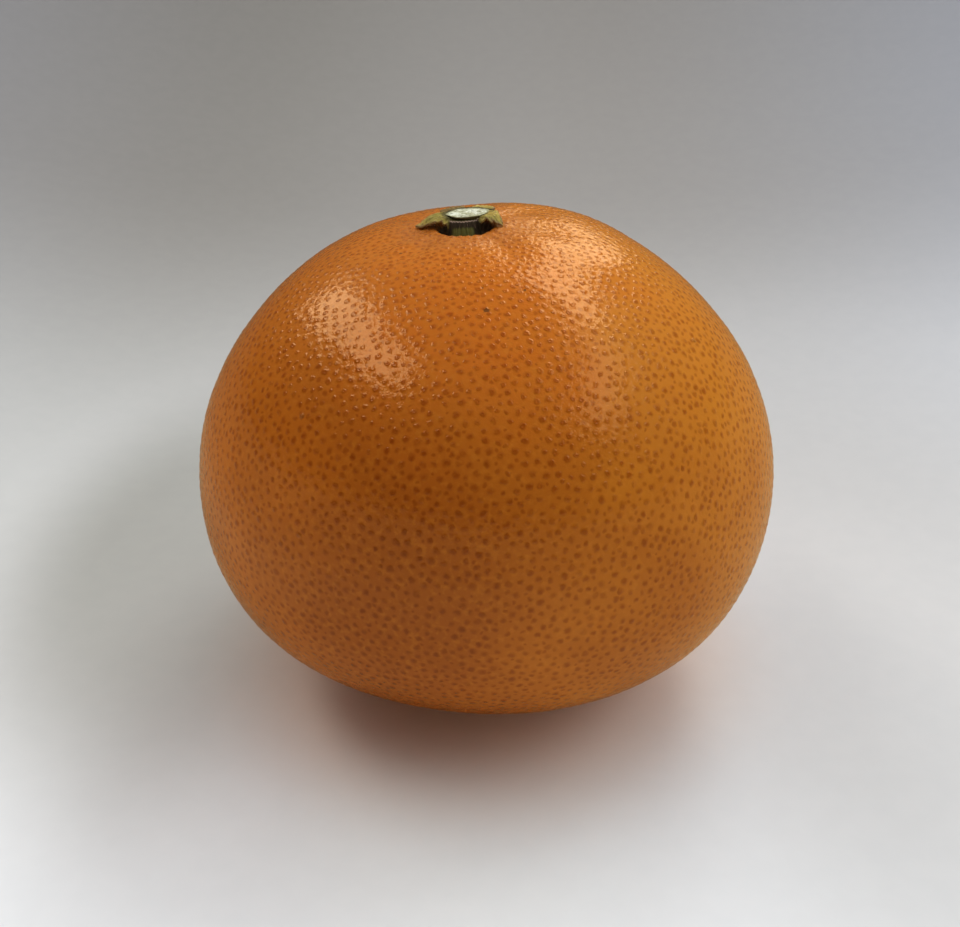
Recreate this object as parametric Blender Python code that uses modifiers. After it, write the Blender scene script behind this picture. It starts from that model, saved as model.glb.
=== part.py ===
"""A whole mandarin, standing on the flat spot of its blossom end, with the calyx and the cut stub of
the stem in the hollow at the top.

Units are metres and +Z is up. The fruit is worked out about its own centre. In the end everything is
placed so that the flat spot lies at z = 0 and the whole is centred on x = y = 0.
"""

import math
import random

import bmesh
import bpy
from mathutils import Matrix, Vector

MM = 0.001

# The fruit: half its width, and how far its top and its bottom lie from the widest belt
HALF_WIDTH = 35.0 * MM
TOP_HEIGHT = 30.5 * MM
BOTTOM_HEIGHT = 27.5 * MM
# 2 gives an ellipse, and more gives fuller shoulders
TOP_FULLNESS = 2.0
BOTTOM_FULLNESS = 2.2
# The fruit grew a little askew: its belt tips one way, and the stem leans the other way
BELT_TIP = math.radians(5.0)
STEM_LEAN = math.radians(4.5)
# How far above the lowest point of the round form the flat spot cuts it
FLAT_SPOT_CUT = 0.5 * MM

# Broad swells and flats of the fruit: azimuth, elevation and spread in degrees, and height
SWELLS = {
    "right back shoulder": (55, 55, 22, 1.0 * MM),
    "left shoulder": (130, 50, 22, 0.2 * MM),
    "flat left cheek": (165, 22, 24, -1.0 * MM),
    "lower right": (-25, -30, 24, 0.25 * MM),
    "lower left": (-150, -30, 24, 0.8 * MM),
    "flat lower front": (-90, -38, 26, -0.4 * MM),
}

# The stem end: a broad dip, and in it the small hollow that holds the calyx
DIP_DEPTH = 1.2 * MM
DIP_RADIUS = 9.0 * MM
HOLLOW_DEPTH = 1.6 * MM
HOLLOW_FLOOR_RADIUS = 3.0 * MM
HOLLOW_RIM_RADIUS = 5.2 * MM
# Faint furrows run out of the hollow over the shoulder
FURROW_AZIMUTHS = (-128, -62, -12, 38, 86, 141, 188)
FURROW_DEPTH = 0.35 * MM
FURROW_SPREAD = math.radians(13)
FURROW_START = 3.6 * MM
FURROW_END = 14.0 * MM

# The blossom end: a shallow basin in the middle of the flat spot
BASIN_RADIUS = 3.4 * MM
BASIN_DEPTH = 0.7 * MM

# The peel's relief of oil glands: low domes over a sunk net, larger than life
GLAND_SPACING = 3.2 * MM
GLAND_RISE = 0.28 * MM
GLAND_SHIFT = 0.15
SEED = 20
# Rings of points where the form needs them, not the glands: distance from the pole and number
STEM_RINGS = ((1.3, 8), (2.4, 16), (3.3, 24), (4.1, 30), (4.9, 32), (5.8, 34), (7.2, 32))
BLOSSOM_RINGS = ((1.2, 7), (2.4, 13), (3.6, 18), (5.4, 20), (7.2, 22))

# The calyx: five pointed lobes on a disc, round the stub. Each lobe has an azimuth in degrees, the
# radius of its tip, the height of its shoulder over the disc, and the radii where it starts to droop
# and where it lies on the peel
LOBES = {
    "front, dried and sunk": (-95, 4.4 * MM, 0.0 * MM, 2.1 * MM, 3.3 * MM),
    "right": (-23, 4.7 * MM, 0.9 * MM, 3.0 * MM, 4.9 * MM),
    "back right, curled up": (49, 4.6 * MM, 1.1 * MM, 3.2 * MM, 5.6 * MM),
    "back left": (121, 4.7 * MM, 1.0 * MM, 3.0 * MM, 5.0 * MM),
    "left": (193, 5.8 * MM, 1.1 * MM, 3.0 * MM, 5.8 * MM),
}
NOTCH_RADIUS = 2.7 * MM
# 1 gives lobes with straight sides, and more gives finer points
LOBE_POINT = 1.15
CALYX_THICKNESS = 0.7 * MM
DISC_RADIUS = 2.2 * MM
DISC_RISE = 0.8 * MM
SHOULDER_RADIUS = 2.9 * MM
CALYX_SECTORS = 70
CALYX_RINGS = 9

# The stub of the stem: a cut end that flares a little over its neck
STUB_HEAD_RADIUS = 2.5 * MM
STUB_NECK_RADIUS = 1.9 * MM
STUB_LENGTH = 0.95 * MM
STUB_EDGE = 0.2 * MM
STUB_STEPS = 32

# Room left between pieces that touch
CLEARANCE = 0.35 * MM

PEEL_ORANGE = (0.60, 0.17, 0.012, 1.0)
CALYX_GREEN = (0.13, 0.16, 0.03, 1.0)
STUB_PALE = (0.52, 0.57, 0.40, 1.0)


def direction(azimuth, elevation):
    """The unit vector at an azimuth, from +X towards +Y, and an elevation, both in degrees."""
    a, e = math.radians(azimuth), math.radians(elevation)
    return Vector((math.cos(e) * math.cos(a), math.cos(e) * math.sin(a), math.sin(e)))


# The frame of the line from the blossom end to the stem: its Z points at the stem
STEM_FRAME = Matrix.Rotation(-STEM_LEAN, 3, "Y")
STEM = STEM_FRAME @ Vector((0, 0, 1))
FLOOR = FLAT_SPOT_CUT - BOTTOM_HEIGHT


def smooth_step(value, start, end):
    """0 before start and 1 after end, with a smooth rise between them."""
    t = min(max((value - start) / (end - start), 0.0), 1.0)
    return t * t * (3 - 2 * t)


def turn_between(azimuth, other):
    """The angle between two azimuths in radians, in either direction."""
    return abs((azimuth - other + math.pi) % (2 * math.pi) - math.pi)


def stem_hollow(way):
    """How far the dip, the hollow and the furrows of the stem end draw the surface in."""
    local = STEM_FRAME.transposed() @ way
    reach = local.angle(Vector((0, 0, 1))) * TOP_HEIGHT
    drawn = DIP_DEPTH * math.exp(-((reach / DIP_RADIUS) ** 2))
    drawn += HOLLOW_DEPTH * (1 - smooth_step(reach, HOLLOW_FLOOR_RADIUS, HOLLOW_RIM_RADIUS))
    if FURROW_START < reach < FURROW_END:
        along = math.sin(math.pi * (reach - FURROW_START) / (FURROW_END - FURROW_START))
        azimuth = math.atan2(local.y, local.x)
        near = min(turn_between(azimuth, math.radians(a)) for a in FURROW_AZIMUTHS)
        drawn += FURROW_DEPTH * along * math.exp(-((near / FURROW_SPREAD) ** 2))
    return drawn


def fruit_radius(way):
    """Distance from the fruit's centre to its surface along a unit vector, before the flat spot."""
    belt = Matrix.Rotation(-BELT_TIP, 3, "Y") @ way
    out = math.hypot(belt.x, belt.y) / HALF_WIDTH
    if belt.z > 0:
        height, fullness = TOP_HEIGHT, TOP_FULLNESS
    else:
        height, fullness = BOTTOM_HEIGHT, BOTTOM_FULLNESS
    radius = (out**fullness + (abs(belt.z) / height) ** fullness) ** (-1 / fullness)
    for azimuth, elevation, spread, swell in SWELLS.values():
        turn = way.angle(direction(azimuth, elevation))
        radius += swell * math.exp(-((turn / math.radians(spread)) ** 2))
    return radius - stem_hollow(way)


def surface_point(way, sunk=0.0):
    """The point of the peel along a unit vector, sunk below its smooth form in the net of the glands."""
    point = way * (fruit_radius(way) - sunk)
    if point.z < FLOOR:
        point = way * (FLOOR / way.z)
    if way.z < 0:
        off_axis = (point - STEM * point.dot(STEM)).length
        if off_axis < BASIN_RADIUS:
            point.z += BASIN_DEPTH * (1 - (off_axis / BASIN_RADIUS) ** 2) ** 2
    return point


def peel_height(x, y):
    """Height of the peel over a place beside the stem's axis, in the stem's own frame."""
    z = TOP_HEIGHT - DIP_DEPTH
    for _ in range(3):
        way = Vector((x, y, z)).normalized()
        z = way.z * fruit_radius(STEM_FRAME @ way)
    return z


def ring_ways(rings, pole_sign, rng):
    """Unit vectors on rings round one end of the fruit, and one at its pole."""
    ways = [Vector((0, 0, pole_sign))]
    for reach_mm, count in rings:
        angle = reach_mm * MM / TOP_HEIGHT
        turn = rng.uniform(0, 2 * math.pi)
        for i in range(count):
            azimuth = turn + 2 * math.pi * i / count
            flat = math.sin(angle)
            way = Vector((flat * math.cos(azimuth), flat * math.sin(azimuth), pole_sign * math.cos(angle)))
            ways.append(way)
    return ways


def gland_ways(rng):
    """Unit vectors to the glands: a golden-angle spiral between the rings, each shifted a little."""
    golden = math.pi * (3 - math.sqrt(5))
    top = math.cos(STEM_RINGS[-1][0] * MM / TOP_HEIGHT + GLAND_SPACING / (2 * TOP_HEIGHT))
    bottom = -math.cos(BLOSSOM_RINGS[-1][0] * MM / TOP_HEIGHT + GLAND_SPACING / (2 * BOTTOM_HEIGHT))
    mean_radius = (HALF_WIDTH + TOP_HEIGHT + BOTTOM_HEIGHT) / 3 + 1.5 * MM
    cell = math.sqrt(3) / 2 * (GLAND_SPACING / mean_radius) ** 2
    count = round(2 * math.pi * (top - bottom) / cell)
    ways = []
    for i in range(count):
        z = top + (bottom - top) * (i + 0.5) / count
        azimuth = golden * i
        flat = math.sqrt(1 - z * z)
        shift = GLAND_SHIFT * GLAND_SPACING / mean_radius
        way = Vector((flat * math.cos(azimuth), flat * math.sin(azimuth), z))
        way += Vector([rng.uniform(-shift, shift) for _ in range(3)])
        ways.append(way.normalized())
    return ways


def make_fruit(collection):
    """The fruit: points on a ball joined by a hull, whose faces are poked into a net round each gland."""
    rng = random.Random(SEED)
    plain = ring_ways(STEM_RINGS, 1, rng) + ring_ways(BLOSSOM_RINGS, -1, rng)
    glands = gland_ways(rng)
    bm = bmesh.new()
    is_gland = bm.verts.layers.int.new("gland")
    for number, way in enumerate(plain + glands):
        vert = bm.verts.new(way)
        vert[is_gland] = int(number >= len(plain))
    bmesh.ops.convex_hull(bm, input=bm.verts[:])
    cell_edges = bm.edges[:]
    net = bmesh.ops.poke(bm, faces=bm.faces[:])["verts"]
    sunk = {}
    for vert in net:
        corners = [edge.other_vert(vert) for edge in vert.link_edges]
        sunk[vert] = GLAND_RISE * sum(corner[is_gland] for corner in corners) / len(corners)
    bmesh.ops.rotate_edges(bm, edges=cell_edges, use_ccw=False)
    for vert in bm.verts:
        way = STEM_FRAME @ vert.co.normalized()
        vert.co = surface_point(way, sunk.get(vert, 0.0))
    bmesh.ops.recalc_face_normals(bm, faces=bm.faces[:])
    return finish(bm, "fruit", collection, "peel", PEEL_ORANGE, 0.32)


def lobe_at(azimuth):
    """The lobe nearest an azimuth, and how far into it that lies: 0 at a notch and 1 at its middle."""
    lobe = min(LOBES.values(), key=lambda each: turn_between(azimuth, math.radians(each[0])))
    off_middle = turn_between(azimuth, math.radians(lobe[0]))
    return lobe, max(1 - off_middle * len(LOBES) / math.pi, 0.0)


def calyx_top(x, y):
    """Height of the calyx's upper face in the stem's frame: a disc, raised shoulders, drooping tips."""
    reach = math.hypot(x, y)
    lobe, depth = lobe_at(math.atan2(y, x))
    raised, droop_start, droop_end = lobe[2:]
    disc = peel_height(0, 0) + CLEARANCE + CALYX_THICKNESS + DISC_RISE
    rise = smooth_step(depth, 0.0, 0.5) * smooth_step(reach, DISC_RADIUS, SHOULDER_RADIUS)
    lying = peel_height(x, y) + CLEARANCE + CALYX_THICKNESS
    droop = smooth_step(reach, droop_start, droop_end) * smooth_step(depth, 0.0, 0.15)
    return max((disc + raised * rise) * (1 - droop) + lying * droop, lying)


def make_calyx(collection):
    """The calyx: a star-shaped open surface over the hollow, given its thickness by a Solidify."""
    bm = bmesh.new()
    rings = []
    for ring in range(1, CALYX_RINGS + 1):
        share = ring / CALYX_RINGS
        verts = []
        for sector in range(CALYX_SECTORS):
            azimuth = 2 * math.pi * sector / CALYX_SECTORS
            lobe, depth = lobe_at(azimuth)
            edge = NOTCH_RADIUS + (lobe[1] - NOTCH_RADIUS) * depth**LOBE_POINT
            x, y = share * edge * math.cos(azimuth), share * edge * math.sin(azimuth)
            verts.append(bm.verts.new((x, y, calyx_top(x, y))))
        rings.append(verts)
    centre = bm.verts.new((0, 0, calyx_top(0, 0)))
    for sector in range(CALYX_SECTORS):
        following = (sector + 1) % CALYX_SECTORS
        bm.faces.new((centre, rings[0][sector], rings[0][following]))
        for inner, outer in zip(rings, rings[1:]):
            bm.faces.new((inner[sector], outer[sector], outer[following], inner[following]))
    bm.transform(STEM_FRAME.to_4x4())
    obj = finish(bm, "calyx", collection, "calyx", CALYX_GREEN, 0.6)
    shell = obj.modifiers.new("thickness", "SOLIDIFY")
    shell.thickness = CALYX_THICKNESS
    shell.offset = -1.0
    return obj


def make_stub(collection):
    """The stub: the half outline of a cut stem with a flared end, turned about its axis."""
    neck, head = STUB_NECK_RADIUS, STUB_HEAD_RADIUS
    outline = (
        (0.0, STUB_LENGTH),
        (head - STUB_EDGE, STUB_LENGTH),
        (head, STUB_LENGTH - STUB_EDGE),
        (head - STUB_EDGE / 2, STUB_LENGTH - 2 * STUB_EDGE),
        (neck, STUB_LENGTH / 2),
        (neck, STUB_EDGE / 2),
        (neck - STUB_EDGE / 2, 0.0),
        (0.0, 0.0),
    )
    bm = bmesh.new()
    verts = [bm.verts.new((x, 0, z)) for x, z in outline]
    for upper, lower in zip(verts, verts[1:]):
        bm.edges.new((upper, lower))
    obj = finish(bm, "stem_stub", collection, "cut stem", STUB_PALE, 0.7)
    turned = obj.modifiers.new("turned", "SCREW")
    turned.steps = turned.render_steps = STUB_STEPS
    turned.use_merge_vertices = True
    turned.merge_threshold = 0.00001
    obj.rotation_euler = STEM_FRAME.to_euler()
    obj.location = STEM_FRAME @ Vector((0, 0, calyx_top(0, 0) + CLEARANCE))
    return obj


def material(name, colour, roughness):
    made = bpy.data.materials.new(name)
    made.use_nodes = True
    shader = made.node_tree.nodes["Principled BSDF"]
    shader.inputs["Base Color"].default_value = colour
    shader.inputs["Roughness"].default_value = roughness
    shader.inputs["Metallic"].default_value = 0.0
    made.diffuse_color = colour
    return made


def finish(bm, name, collection, material_name, colour, roughness):
    """The bmesh as a smooth-shaded object of its own, with its own material."""
    mesh = bpy.data.meshes.new(name)
    bm.to_mesh(mesh)
    bm.free()
    mesh.shade_smooth()
    mesh.materials.append(material(material_name, colour, roughness))
    obj = bpy.data.objects.new(name, mesh)
    collection.objects.link(obj)
    return obj


def evaluated_points(obj):
    """The object's points with its modifiers, where they stand."""
    evaluated = obj.evaluated_get(bpy.context.evaluated_depsgraph_get())
    points = [evaluated.matrix_world @ vert.co for vert in evaluated.data.vertices]
    return points


def seat(objects):
    """Puts the flat spot at z = 0 and the middle of the whole at x = y = 0."""
    bpy.context.view_layer.update()
    points = [point for obj in objects for point in evaluated_points(obj)]
    across = [(min(p[axis] for p in points) + max(p[axis] for p in points)) / 2 for axis in (0, 1)]
    for obj in objects:
        obj.location -= Vector((across[0], across[1], FLOOR))


def main():
    for obj in list(bpy.data.objects):
        bpy.data.objects.remove(obj, do_unlink=True)
    collection = bpy.data.collections.new("mandarin")
    bpy.context.scene.collection.children.link(collection)
    seat([make_fruit(collection), make_calyx(collection), make_stub(collection)])


main()
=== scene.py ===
import math

import bmesh
import bpy
import numpy as np
from mathutils import Matrix, Vector, noise


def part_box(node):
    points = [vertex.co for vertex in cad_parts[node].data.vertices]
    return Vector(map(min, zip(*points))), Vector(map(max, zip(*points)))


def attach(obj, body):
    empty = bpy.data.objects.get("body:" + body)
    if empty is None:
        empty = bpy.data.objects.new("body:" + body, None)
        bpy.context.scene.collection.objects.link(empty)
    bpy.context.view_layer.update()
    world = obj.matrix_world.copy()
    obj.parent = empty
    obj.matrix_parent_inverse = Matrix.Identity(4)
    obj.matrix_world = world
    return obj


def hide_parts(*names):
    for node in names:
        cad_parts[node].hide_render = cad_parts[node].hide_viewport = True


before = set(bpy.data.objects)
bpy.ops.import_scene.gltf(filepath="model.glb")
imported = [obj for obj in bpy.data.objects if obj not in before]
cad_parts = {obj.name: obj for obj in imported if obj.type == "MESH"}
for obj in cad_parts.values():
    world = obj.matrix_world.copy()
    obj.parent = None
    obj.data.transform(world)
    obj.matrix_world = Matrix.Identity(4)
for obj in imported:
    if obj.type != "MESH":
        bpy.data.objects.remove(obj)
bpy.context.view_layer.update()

# The peel. The skin of the whole fruit, grown as one with it: glossy orange, crowded with oil glands
# that show as darker, redder dots and stand up as low domes. It dips round the stem and is flattened
# where the fruit rests.
MM = 0.001
HALF_WIDTH = 35.0 * MM
TOP_HEIGHT = 30.5 * MM
BOTTOM_HEIGHT = 27.5 * MM
TOP_FULLNESS = 2.0
BOTTOM_FULLNESS = 2.2
BELT_TIP = math.radians(5.0)
STEM_LEAN = math.radians(4.5)
FLAT_SPOT_CUT = 0.5 * MM
# Azimuth, elevation and spread in degrees, and height
SWELLS = {
    "right back shoulder": (55, 55, 22, 1.0 * MM),
    "left shoulder": (130, 50, 22, 0.2 * MM),
    "flat left cheek": (165, 22, 24, -1.0 * MM),
    "lower right": (-25, -30, 24, 0.25 * MM),
    "lower left": (-150, -30, 24, 0.8 * MM),
    "flat lower front": (-90, -38, 26, -0.4 * MM),
}
DIP_DEPTH = 1.2 * MM
DIP_RADIUS = 9.0 * MM
# The peel stands up a little round the hollow
COLLAR = 0.5 * MM
COLLAR_RADIUS = 6.0 * MM
HOLLOW_DEPTH = 1.6 * MM
HOLLOW_WALL = 0.8 * MM
HOLLOW_RIM_RADIUS = 3.4 * MM
# The hollow reaches further out in front: azimuth and spread in degrees, and by how much
HOLLOW_FRONT = (-95, 58, 1.6 * MM)
FURROW_AZIMUTHS = (-128, -62, -12, 38, 86, 141, 207)
FURROW_DEPTH = 0.35 * MM
FURROW_SPREAD = math.radians(13)
FURROW_START = 3.6 * MM
FURROW_END = 14.0 * MM
BASIN_RADIUS = 3.4 * MM
BASIN_DEPTH = 0.7 * MM

GLANDS = 10900
GLAND_SPIRAL_STEPS = 4001
# How much closer the glands stand at the stem and at the blossom end, and how far that reaches
STEM_CROWDING = (0.7, 11.0 * MM)
BLOSSOM_CROWDING = (0.4, 8.0 * MM)
GLAND_JITTER = 0.42
# What share of the way to the middle of its neighbours each gland moves, time after time
GLAND_EVENING = (0.5, 0.3)
GLAND_RADII = (0.30 * MM, 0.42 * MM)
# How much smaller the glands are at the stem
STEM_SHRINKING = 0.35
# How strongly the glands are coloured, from the faintest to the strongest
GLAND_TINTS = (0.5, 1.0)
# Small flat glands fill the widest gaps between the others
SMALL_GLAND_RADII = (0.15 * MM, 0.27 * MM)
# Too small to show, where there is no small gland
NO_GLAND_RADIUS = MM / 1000
GLAND_RISE = 0.05 * MM
# Where a gland's dome falls away, in its radii
GLAND_SHOULDER = (0.3, 1.5)
WAVINESS = 0.05 * MM
WAVE_LENGTH = 5.0 * MM
WRINKLES = 34
WRINKLE_DEPTH = 0.05 * MM
WRINKLE_END = 12.0 * MM
# How far a wrinkle bends on its way out, in radians, and the length of a bend; then how far whole
# bunches of them bend, how many bunches there are, and the length of their bend
WRINKLE_BEND = (0.5, 1.3 * MM)
BUNCH_BEND = (1.2, 5, 4 * MM)
# Specks and drops of gum: azimuth, elevation, radius, darkness, height
SPECKS = {
    "ragged speck over the middle": (-90, 54.3, 0.3 * MM, 0.9, 0),
    "speck above it": (-91.5, 60.1, 0.13 * MM, 0.8, 0),
    "speck to its right": (-76.1, 59.3, 0.17 * MM, 0.9, 0),
    "drop to its left": (-96.6, 51.8, 0.18 * MM, 0, 0.06 * MM),
    "speck on the left shoulder": (-141.4, 67.3, 0.17 * MM, 1.0, 0),
    "drop on the left cheek": (-128.2, 28.8, 0.3 * MM, 0.35, 0.16 * MM),
    "drop low on the left": (-122.7, 9.7, 0.28 * MM, 0.3, 0.1 * MM),
    "drop on the right cheek": (-29.4, 38.8, 0.3 * MM, 0.35, 0.14 * MM),
    "speck low in front": (-109, -21.3, 0.18 * MM, 1.0, 0),
    "speck near the left edge": (-136, -20.4, 0.14 * MM, 0.9, 0),
    "another beside it": (-128, -22.4, 0.13 * MM, 0.8, 0),
    "speck behind": (95, 10, 0.3 * MM, 0.8, 0),
    "another behind": (140, -12, 0.2 * MM, 0.8, 0),
    "drop on the far right": (20, -8, 0.25 * MM, 0.3, 0.12 * MM),
}

STEM_FRAME = np.array(Matrix.Rotation(-STEM_LEAN, 3, "Y"))
BELT_FRAME = np.array(Matrix.Rotation(-BELT_TIP, 3, "Y"))
STEM = STEM_FRAME @ np.array((0.0, 0.0, 1.0))
FLOOR = FLAT_SPOT_CUT - BOTTOM_HEIGHT
rng = np.random.default_rng(20)


def unit(points):
    return points / np.linalg.norm(points, axis=-1, keepdims=True)


def direction(azimuth, elevation):
    a, e = math.radians(azimuth), math.radians(elevation)
    return np.array((math.cos(e) * math.cos(a), math.cos(e) * math.sin(a), math.sin(e)))


def smooth_step(value, start, end):
    t = np.clip((value - start) / (end - start), 0.0, 1.0)
    return t * t * (3 - 2 * t)


def turn_between(azimuth, other):
    return np.abs((azimuth - other + math.pi) % (2 * math.pi) - math.pi)


def angle_to(ways, axis):
    return np.arccos(np.clip(ways @ axis, -1.0, 1.0))


def round_stem(ways):
    """How far from the stem along the peel, the azimuth round it, and how deep in the hollow, 0 to 1."""
    local = ways @ STEM_FRAME
    reach = angle_to(local, np.array((0.0, 0.0, 1.0))) * TOP_HEIGHT
    azimuth = np.arctan2(local[:, 1], local[:, 0])
    way, spread, further = HOLLOW_FRONT
    off_front = turn_between(azimuth, math.radians(way)) / math.radians(spread)
    rim = HOLLOW_RIM_RADIUS + further * np.exp(-(off_front**2))
    return reach, azimuth, 1 - smooth_step(reach, rim - HOLLOW_WALL, rim)


def stem_hollow(ways):
    """How far the dip, the hollow and the furrows of the stem end draw the peel in."""
    reach, azimuth, hollow = round_stem(ways)
    drawn = DIP_DEPTH * np.exp(-((reach / DIP_RADIUS) ** 2)) + HOLLOW_DEPTH * hollow
    drawn -= COLLAR * np.exp(-((reach / COLLAR_RADIUS) ** 2))
    share = np.clip((reach - FURROW_START) / (FURROW_END - FURROW_START), 0.0, 1.0)
    near = np.min([turn_between(azimuth, math.radians(a)) for a in FURROW_AZIMUTHS], axis=0)
    drawn += FURROW_DEPTH * np.sin(math.pi * share) * np.exp(-((near / FURROW_SPREAD) ** 2))
    return drawn


def wrinkle_depth(ways):
    """Fine wrinkles that run out of the hollow, each a little bent."""
    reach, azimuth, hollow = round_stem(ways)
    fade = (1 - hollow) * (1 - smooth_step(reach, HOLLOW_RIM_RADIUS, WRINKLE_END))
    bend = WRINKLE_BEND[0] * np.sin(reach / WRINKLE_BEND[1])
    bend += BUNCH_BEND[0] * np.sin(BUNCH_BEND[1] * azimuth + reach / BUNCH_BEND[2])
    return WRINKLE_DEPTH * fade * np.sin(WRINKLES * azimuth + bend)


def fruit_radius(ways):
    belt = ways @ BELT_FRAME.T
    out = np.hypot(belt[:, 0], belt[:, 1]) / HALF_WIDTH
    height = np.where(belt[:, 2] > 0, TOP_HEIGHT, BOTTOM_HEIGHT)
    fullness = np.where(belt[:, 2] > 0, TOP_FULLNESS, BOTTOM_FULLNESS)
    radius = (out**fullness + (np.abs(belt[:, 2]) / height) ** fullness) ** (-1 / fullness)
    for azimuth, elevation, spread, swell in SWELLS.values():
        turn = angle_to(ways, direction(azimuth, elevation))
        radius += swell * np.exp(-((turn / math.radians(spread)) ** 2))
    return radius - stem_hollow(ways)


def peel_points(ways, raised):
    """The peel along unit vectors, raised by its relief, with the flat spot and the blossom's basin."""
    points = ways * (fruit_radius(ways) + raised)[:, None]
    under = points[:, 2] < FLOOR
    points[under] = ways[under] * (FLOOR / ways[under, 2:])
    off_axis = np.linalg.norm(points - np.outer(points @ STEM, STEM), axis=1)
    basin = (ways[:, 2] < 0) & (off_axis < BASIN_RADIUS)
    points[basin, 2] += BASIN_DEPTH * (1 - (off_axis[basin] / BASIN_RADIUS) ** 2) ** 2
    return points


def spread_glands():
    """A golden-angle spiral from the blossom end to the stem, each gland shifted at random."""
    heights = np.linspace(-1, 1, GLAND_SPIRAL_STEPS)
    from_stem = np.arccos(heights) * TOP_HEIGHT
    from_blossom = math.pi * TOP_HEIGHT - from_stem
    crowd = 1 + STEM_CROWDING[0] * np.exp(-((from_stem / STEM_CROWDING[1]) ** 2))
    crowd += BLOSSOM_CROWDING[0] * np.exp(-((from_blossom / BLOSSOM_CROWDING[1]) ** 2))
    passed = np.cumsum(crowd)
    z = np.interp((np.arange(GLANDS) + 0.5) / GLANDS, passed / passed[-1], heights)
    azimuth = np.arange(GLANDS) * math.pi * (3 - math.sqrt(5))
    flat = np.sqrt(1 - z * z)
    ways = np.column_stack([flat * np.cos(azimuth), flat * np.sin(azimuth), z])
    shift = GLAND_JITTER * math.sqrt(4 * math.pi / GLANDS)
    return unit(ways + rng.uniform(-shift, shift, ways.shape))


def joined(ways):
    """The triangles between points on a ball, turned to face outwards."""
    bm = bmesh.new()
    for way in ways:
        bm.verts.new(way)
    bm.verts.index_update()
    bmesh.ops.convex_hull(bm, input=bm.verts[:])
    triangles = np.array([[vert.index for vert in face.verts] for face in bm.faces])
    bm.free()
    a, b, c = (ways[triangles[:, i]] for i in range(3))
    inward = np.einsum("ij,ij->i", a, np.cross(b, c)) < 0
    triangles[inward] = triangles[inward][:, ::-1]
    return triangles


def evened(ways, triangles, share):
    """Each point moved part of the way to the middle of its neighbours."""
    total, count = np.zeros_like(ways), np.zeros(len(ways))
    for i, j in ((0, 1), (1, 2), (2, 0)):
        np.add.at(total, triangles[:, i], ways[triangles[:, j]])
        np.add.at(count, triangles[:, i], 1)
    return unit(ways + share * (total / count[:, None] - ways))


def fans(count, triangles):
    """The net round each gland: triangles that join it to the middles of the ones that met at it."""
    start, end = triangles.ravel(), np.roll(triangles, -1, axis=1).ravel()
    owner = np.repeat(np.arange(len(triangles)), 3)
    order = np.argsort(start * count + end)
    across = owner[order[np.searchsorted((start * count + end)[order], end * count + start)]]
    return np.column_stack([start, count + across, count + owner])


def ringed(ways, faces):
    """Each face of the net as three, with new points half way from its gland to its corners."""
    spokes = np.concatenate([faces[:, [0, 1]], faces[:, [0, 2]]])
    spokes, which = np.unique(spokes, axis=0, return_inverse=True)
    first, second = len(ways) + which.reshape(2, -1)
    gland, start, end = faces.T
    thirds = [(gland, first, second), (first, start, end), (first, end, second)]
    finer = np.concatenate([np.column_stack(third) for third in thirds])
    middles = unit(ways[spokes[:, 0]] + ways[spokes[:, 1]])
    return np.concatenate([ways, middles]), finer, spokes


def mesh_object(name, points, faces):
    mesh = bpy.data.meshes.new(name)
    mesh.from_pydata(points.tolist(), [], [[int(v) for v in face] for face in faces])
    mesh.shade_smooth()
    obj = bpy.data.objects.new(name, mesh)
    bpy.context.scene.collection.objects.link(obj)
    return obj


def keep(obj, name, kind, domain, values):
    """Keeps a value for each point or face of the mesh, for its material to read."""
    attribute = obj.data.attributes.new(name, kind, domain)
    field = "vector" if kind == "FLOAT_VECTOR" else "value"
    attribute.data.foreach_set(field, np.ascontiguousarray(values, np.float32).ravel())


gland_ways = spread_glands()
for share in GLAND_EVENING:
    gland_ways = gland_ways[np.unique(joined(gland_ways))]
    gland_ways = evened(gland_ways, joined(gland_ways), share)
gland_ways = gland_ways[np.unique(joined(gland_ways))]
gland_triangles = joined(gland_ways)
glands = len(gland_ways)
corner_ways = unit(gland_ways[gland_triangles].sum(axis=1))
net_faces = fans(glands, gland_triangles)
local_ways, peel_faces, spokes = ringed(np.concatenate([gland_ways, corner_ways]), net_faces)
ways = local_ways @ STEM_FRAME.T
wavy = np.array([noise.noise(Vector(way * TOP_HEIGHT / WAVE_LENGTH)) for way in ways])
base_rise = WAVINESS * (wavy - 1) - wrinkle_depth(ways) - GLAND_RISE
smooth_points = peel_points(ways, base_rise)

gland_radius = rng.uniform(*GLAND_RADII, glands)
off_stem = np.arccos(gland_ways[:, 2]) * TOP_HEIGHT
gland_radius *= 1 - STEM_SHRINKING * np.exp(-((off_stem / STEM_CROWDING[1]) ** 2))
gland_tint = rng.uniform(*GLAND_TINTS, glands)
rise = np.zeros(len(ways))
rise[:glands] = GLAND_RISE * gland_radius / GLAND_RADII[1]
ring = np.arange(len(ways) - len(spokes), len(ways))
ring_reach = np.linalg.norm(smooth_points[ring] - smooth_points[spokes[:, 0]], axis=1)
rise[ring] = rise[spokes[:, 0]] * (1 - smooth_step(ring_reach / gland_radius[spokes[:, 0]], *GLAND_SHOULDER))
peel_at = peel_points(ways, base_rise + rise)

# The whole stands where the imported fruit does
low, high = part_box("fruit")
own_middle = (peel_at.min(0) + peel_at.max(0)) / 2
packed_middle = (np.array(low) + np.array(high)) / 2
SEAT = np.array([*(own_middle - packed_middle)[:2], FLOOR])
peel_at = peel_at - SEAT
peel = mesh_object("peel", peel_at, peel_faces)

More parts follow.
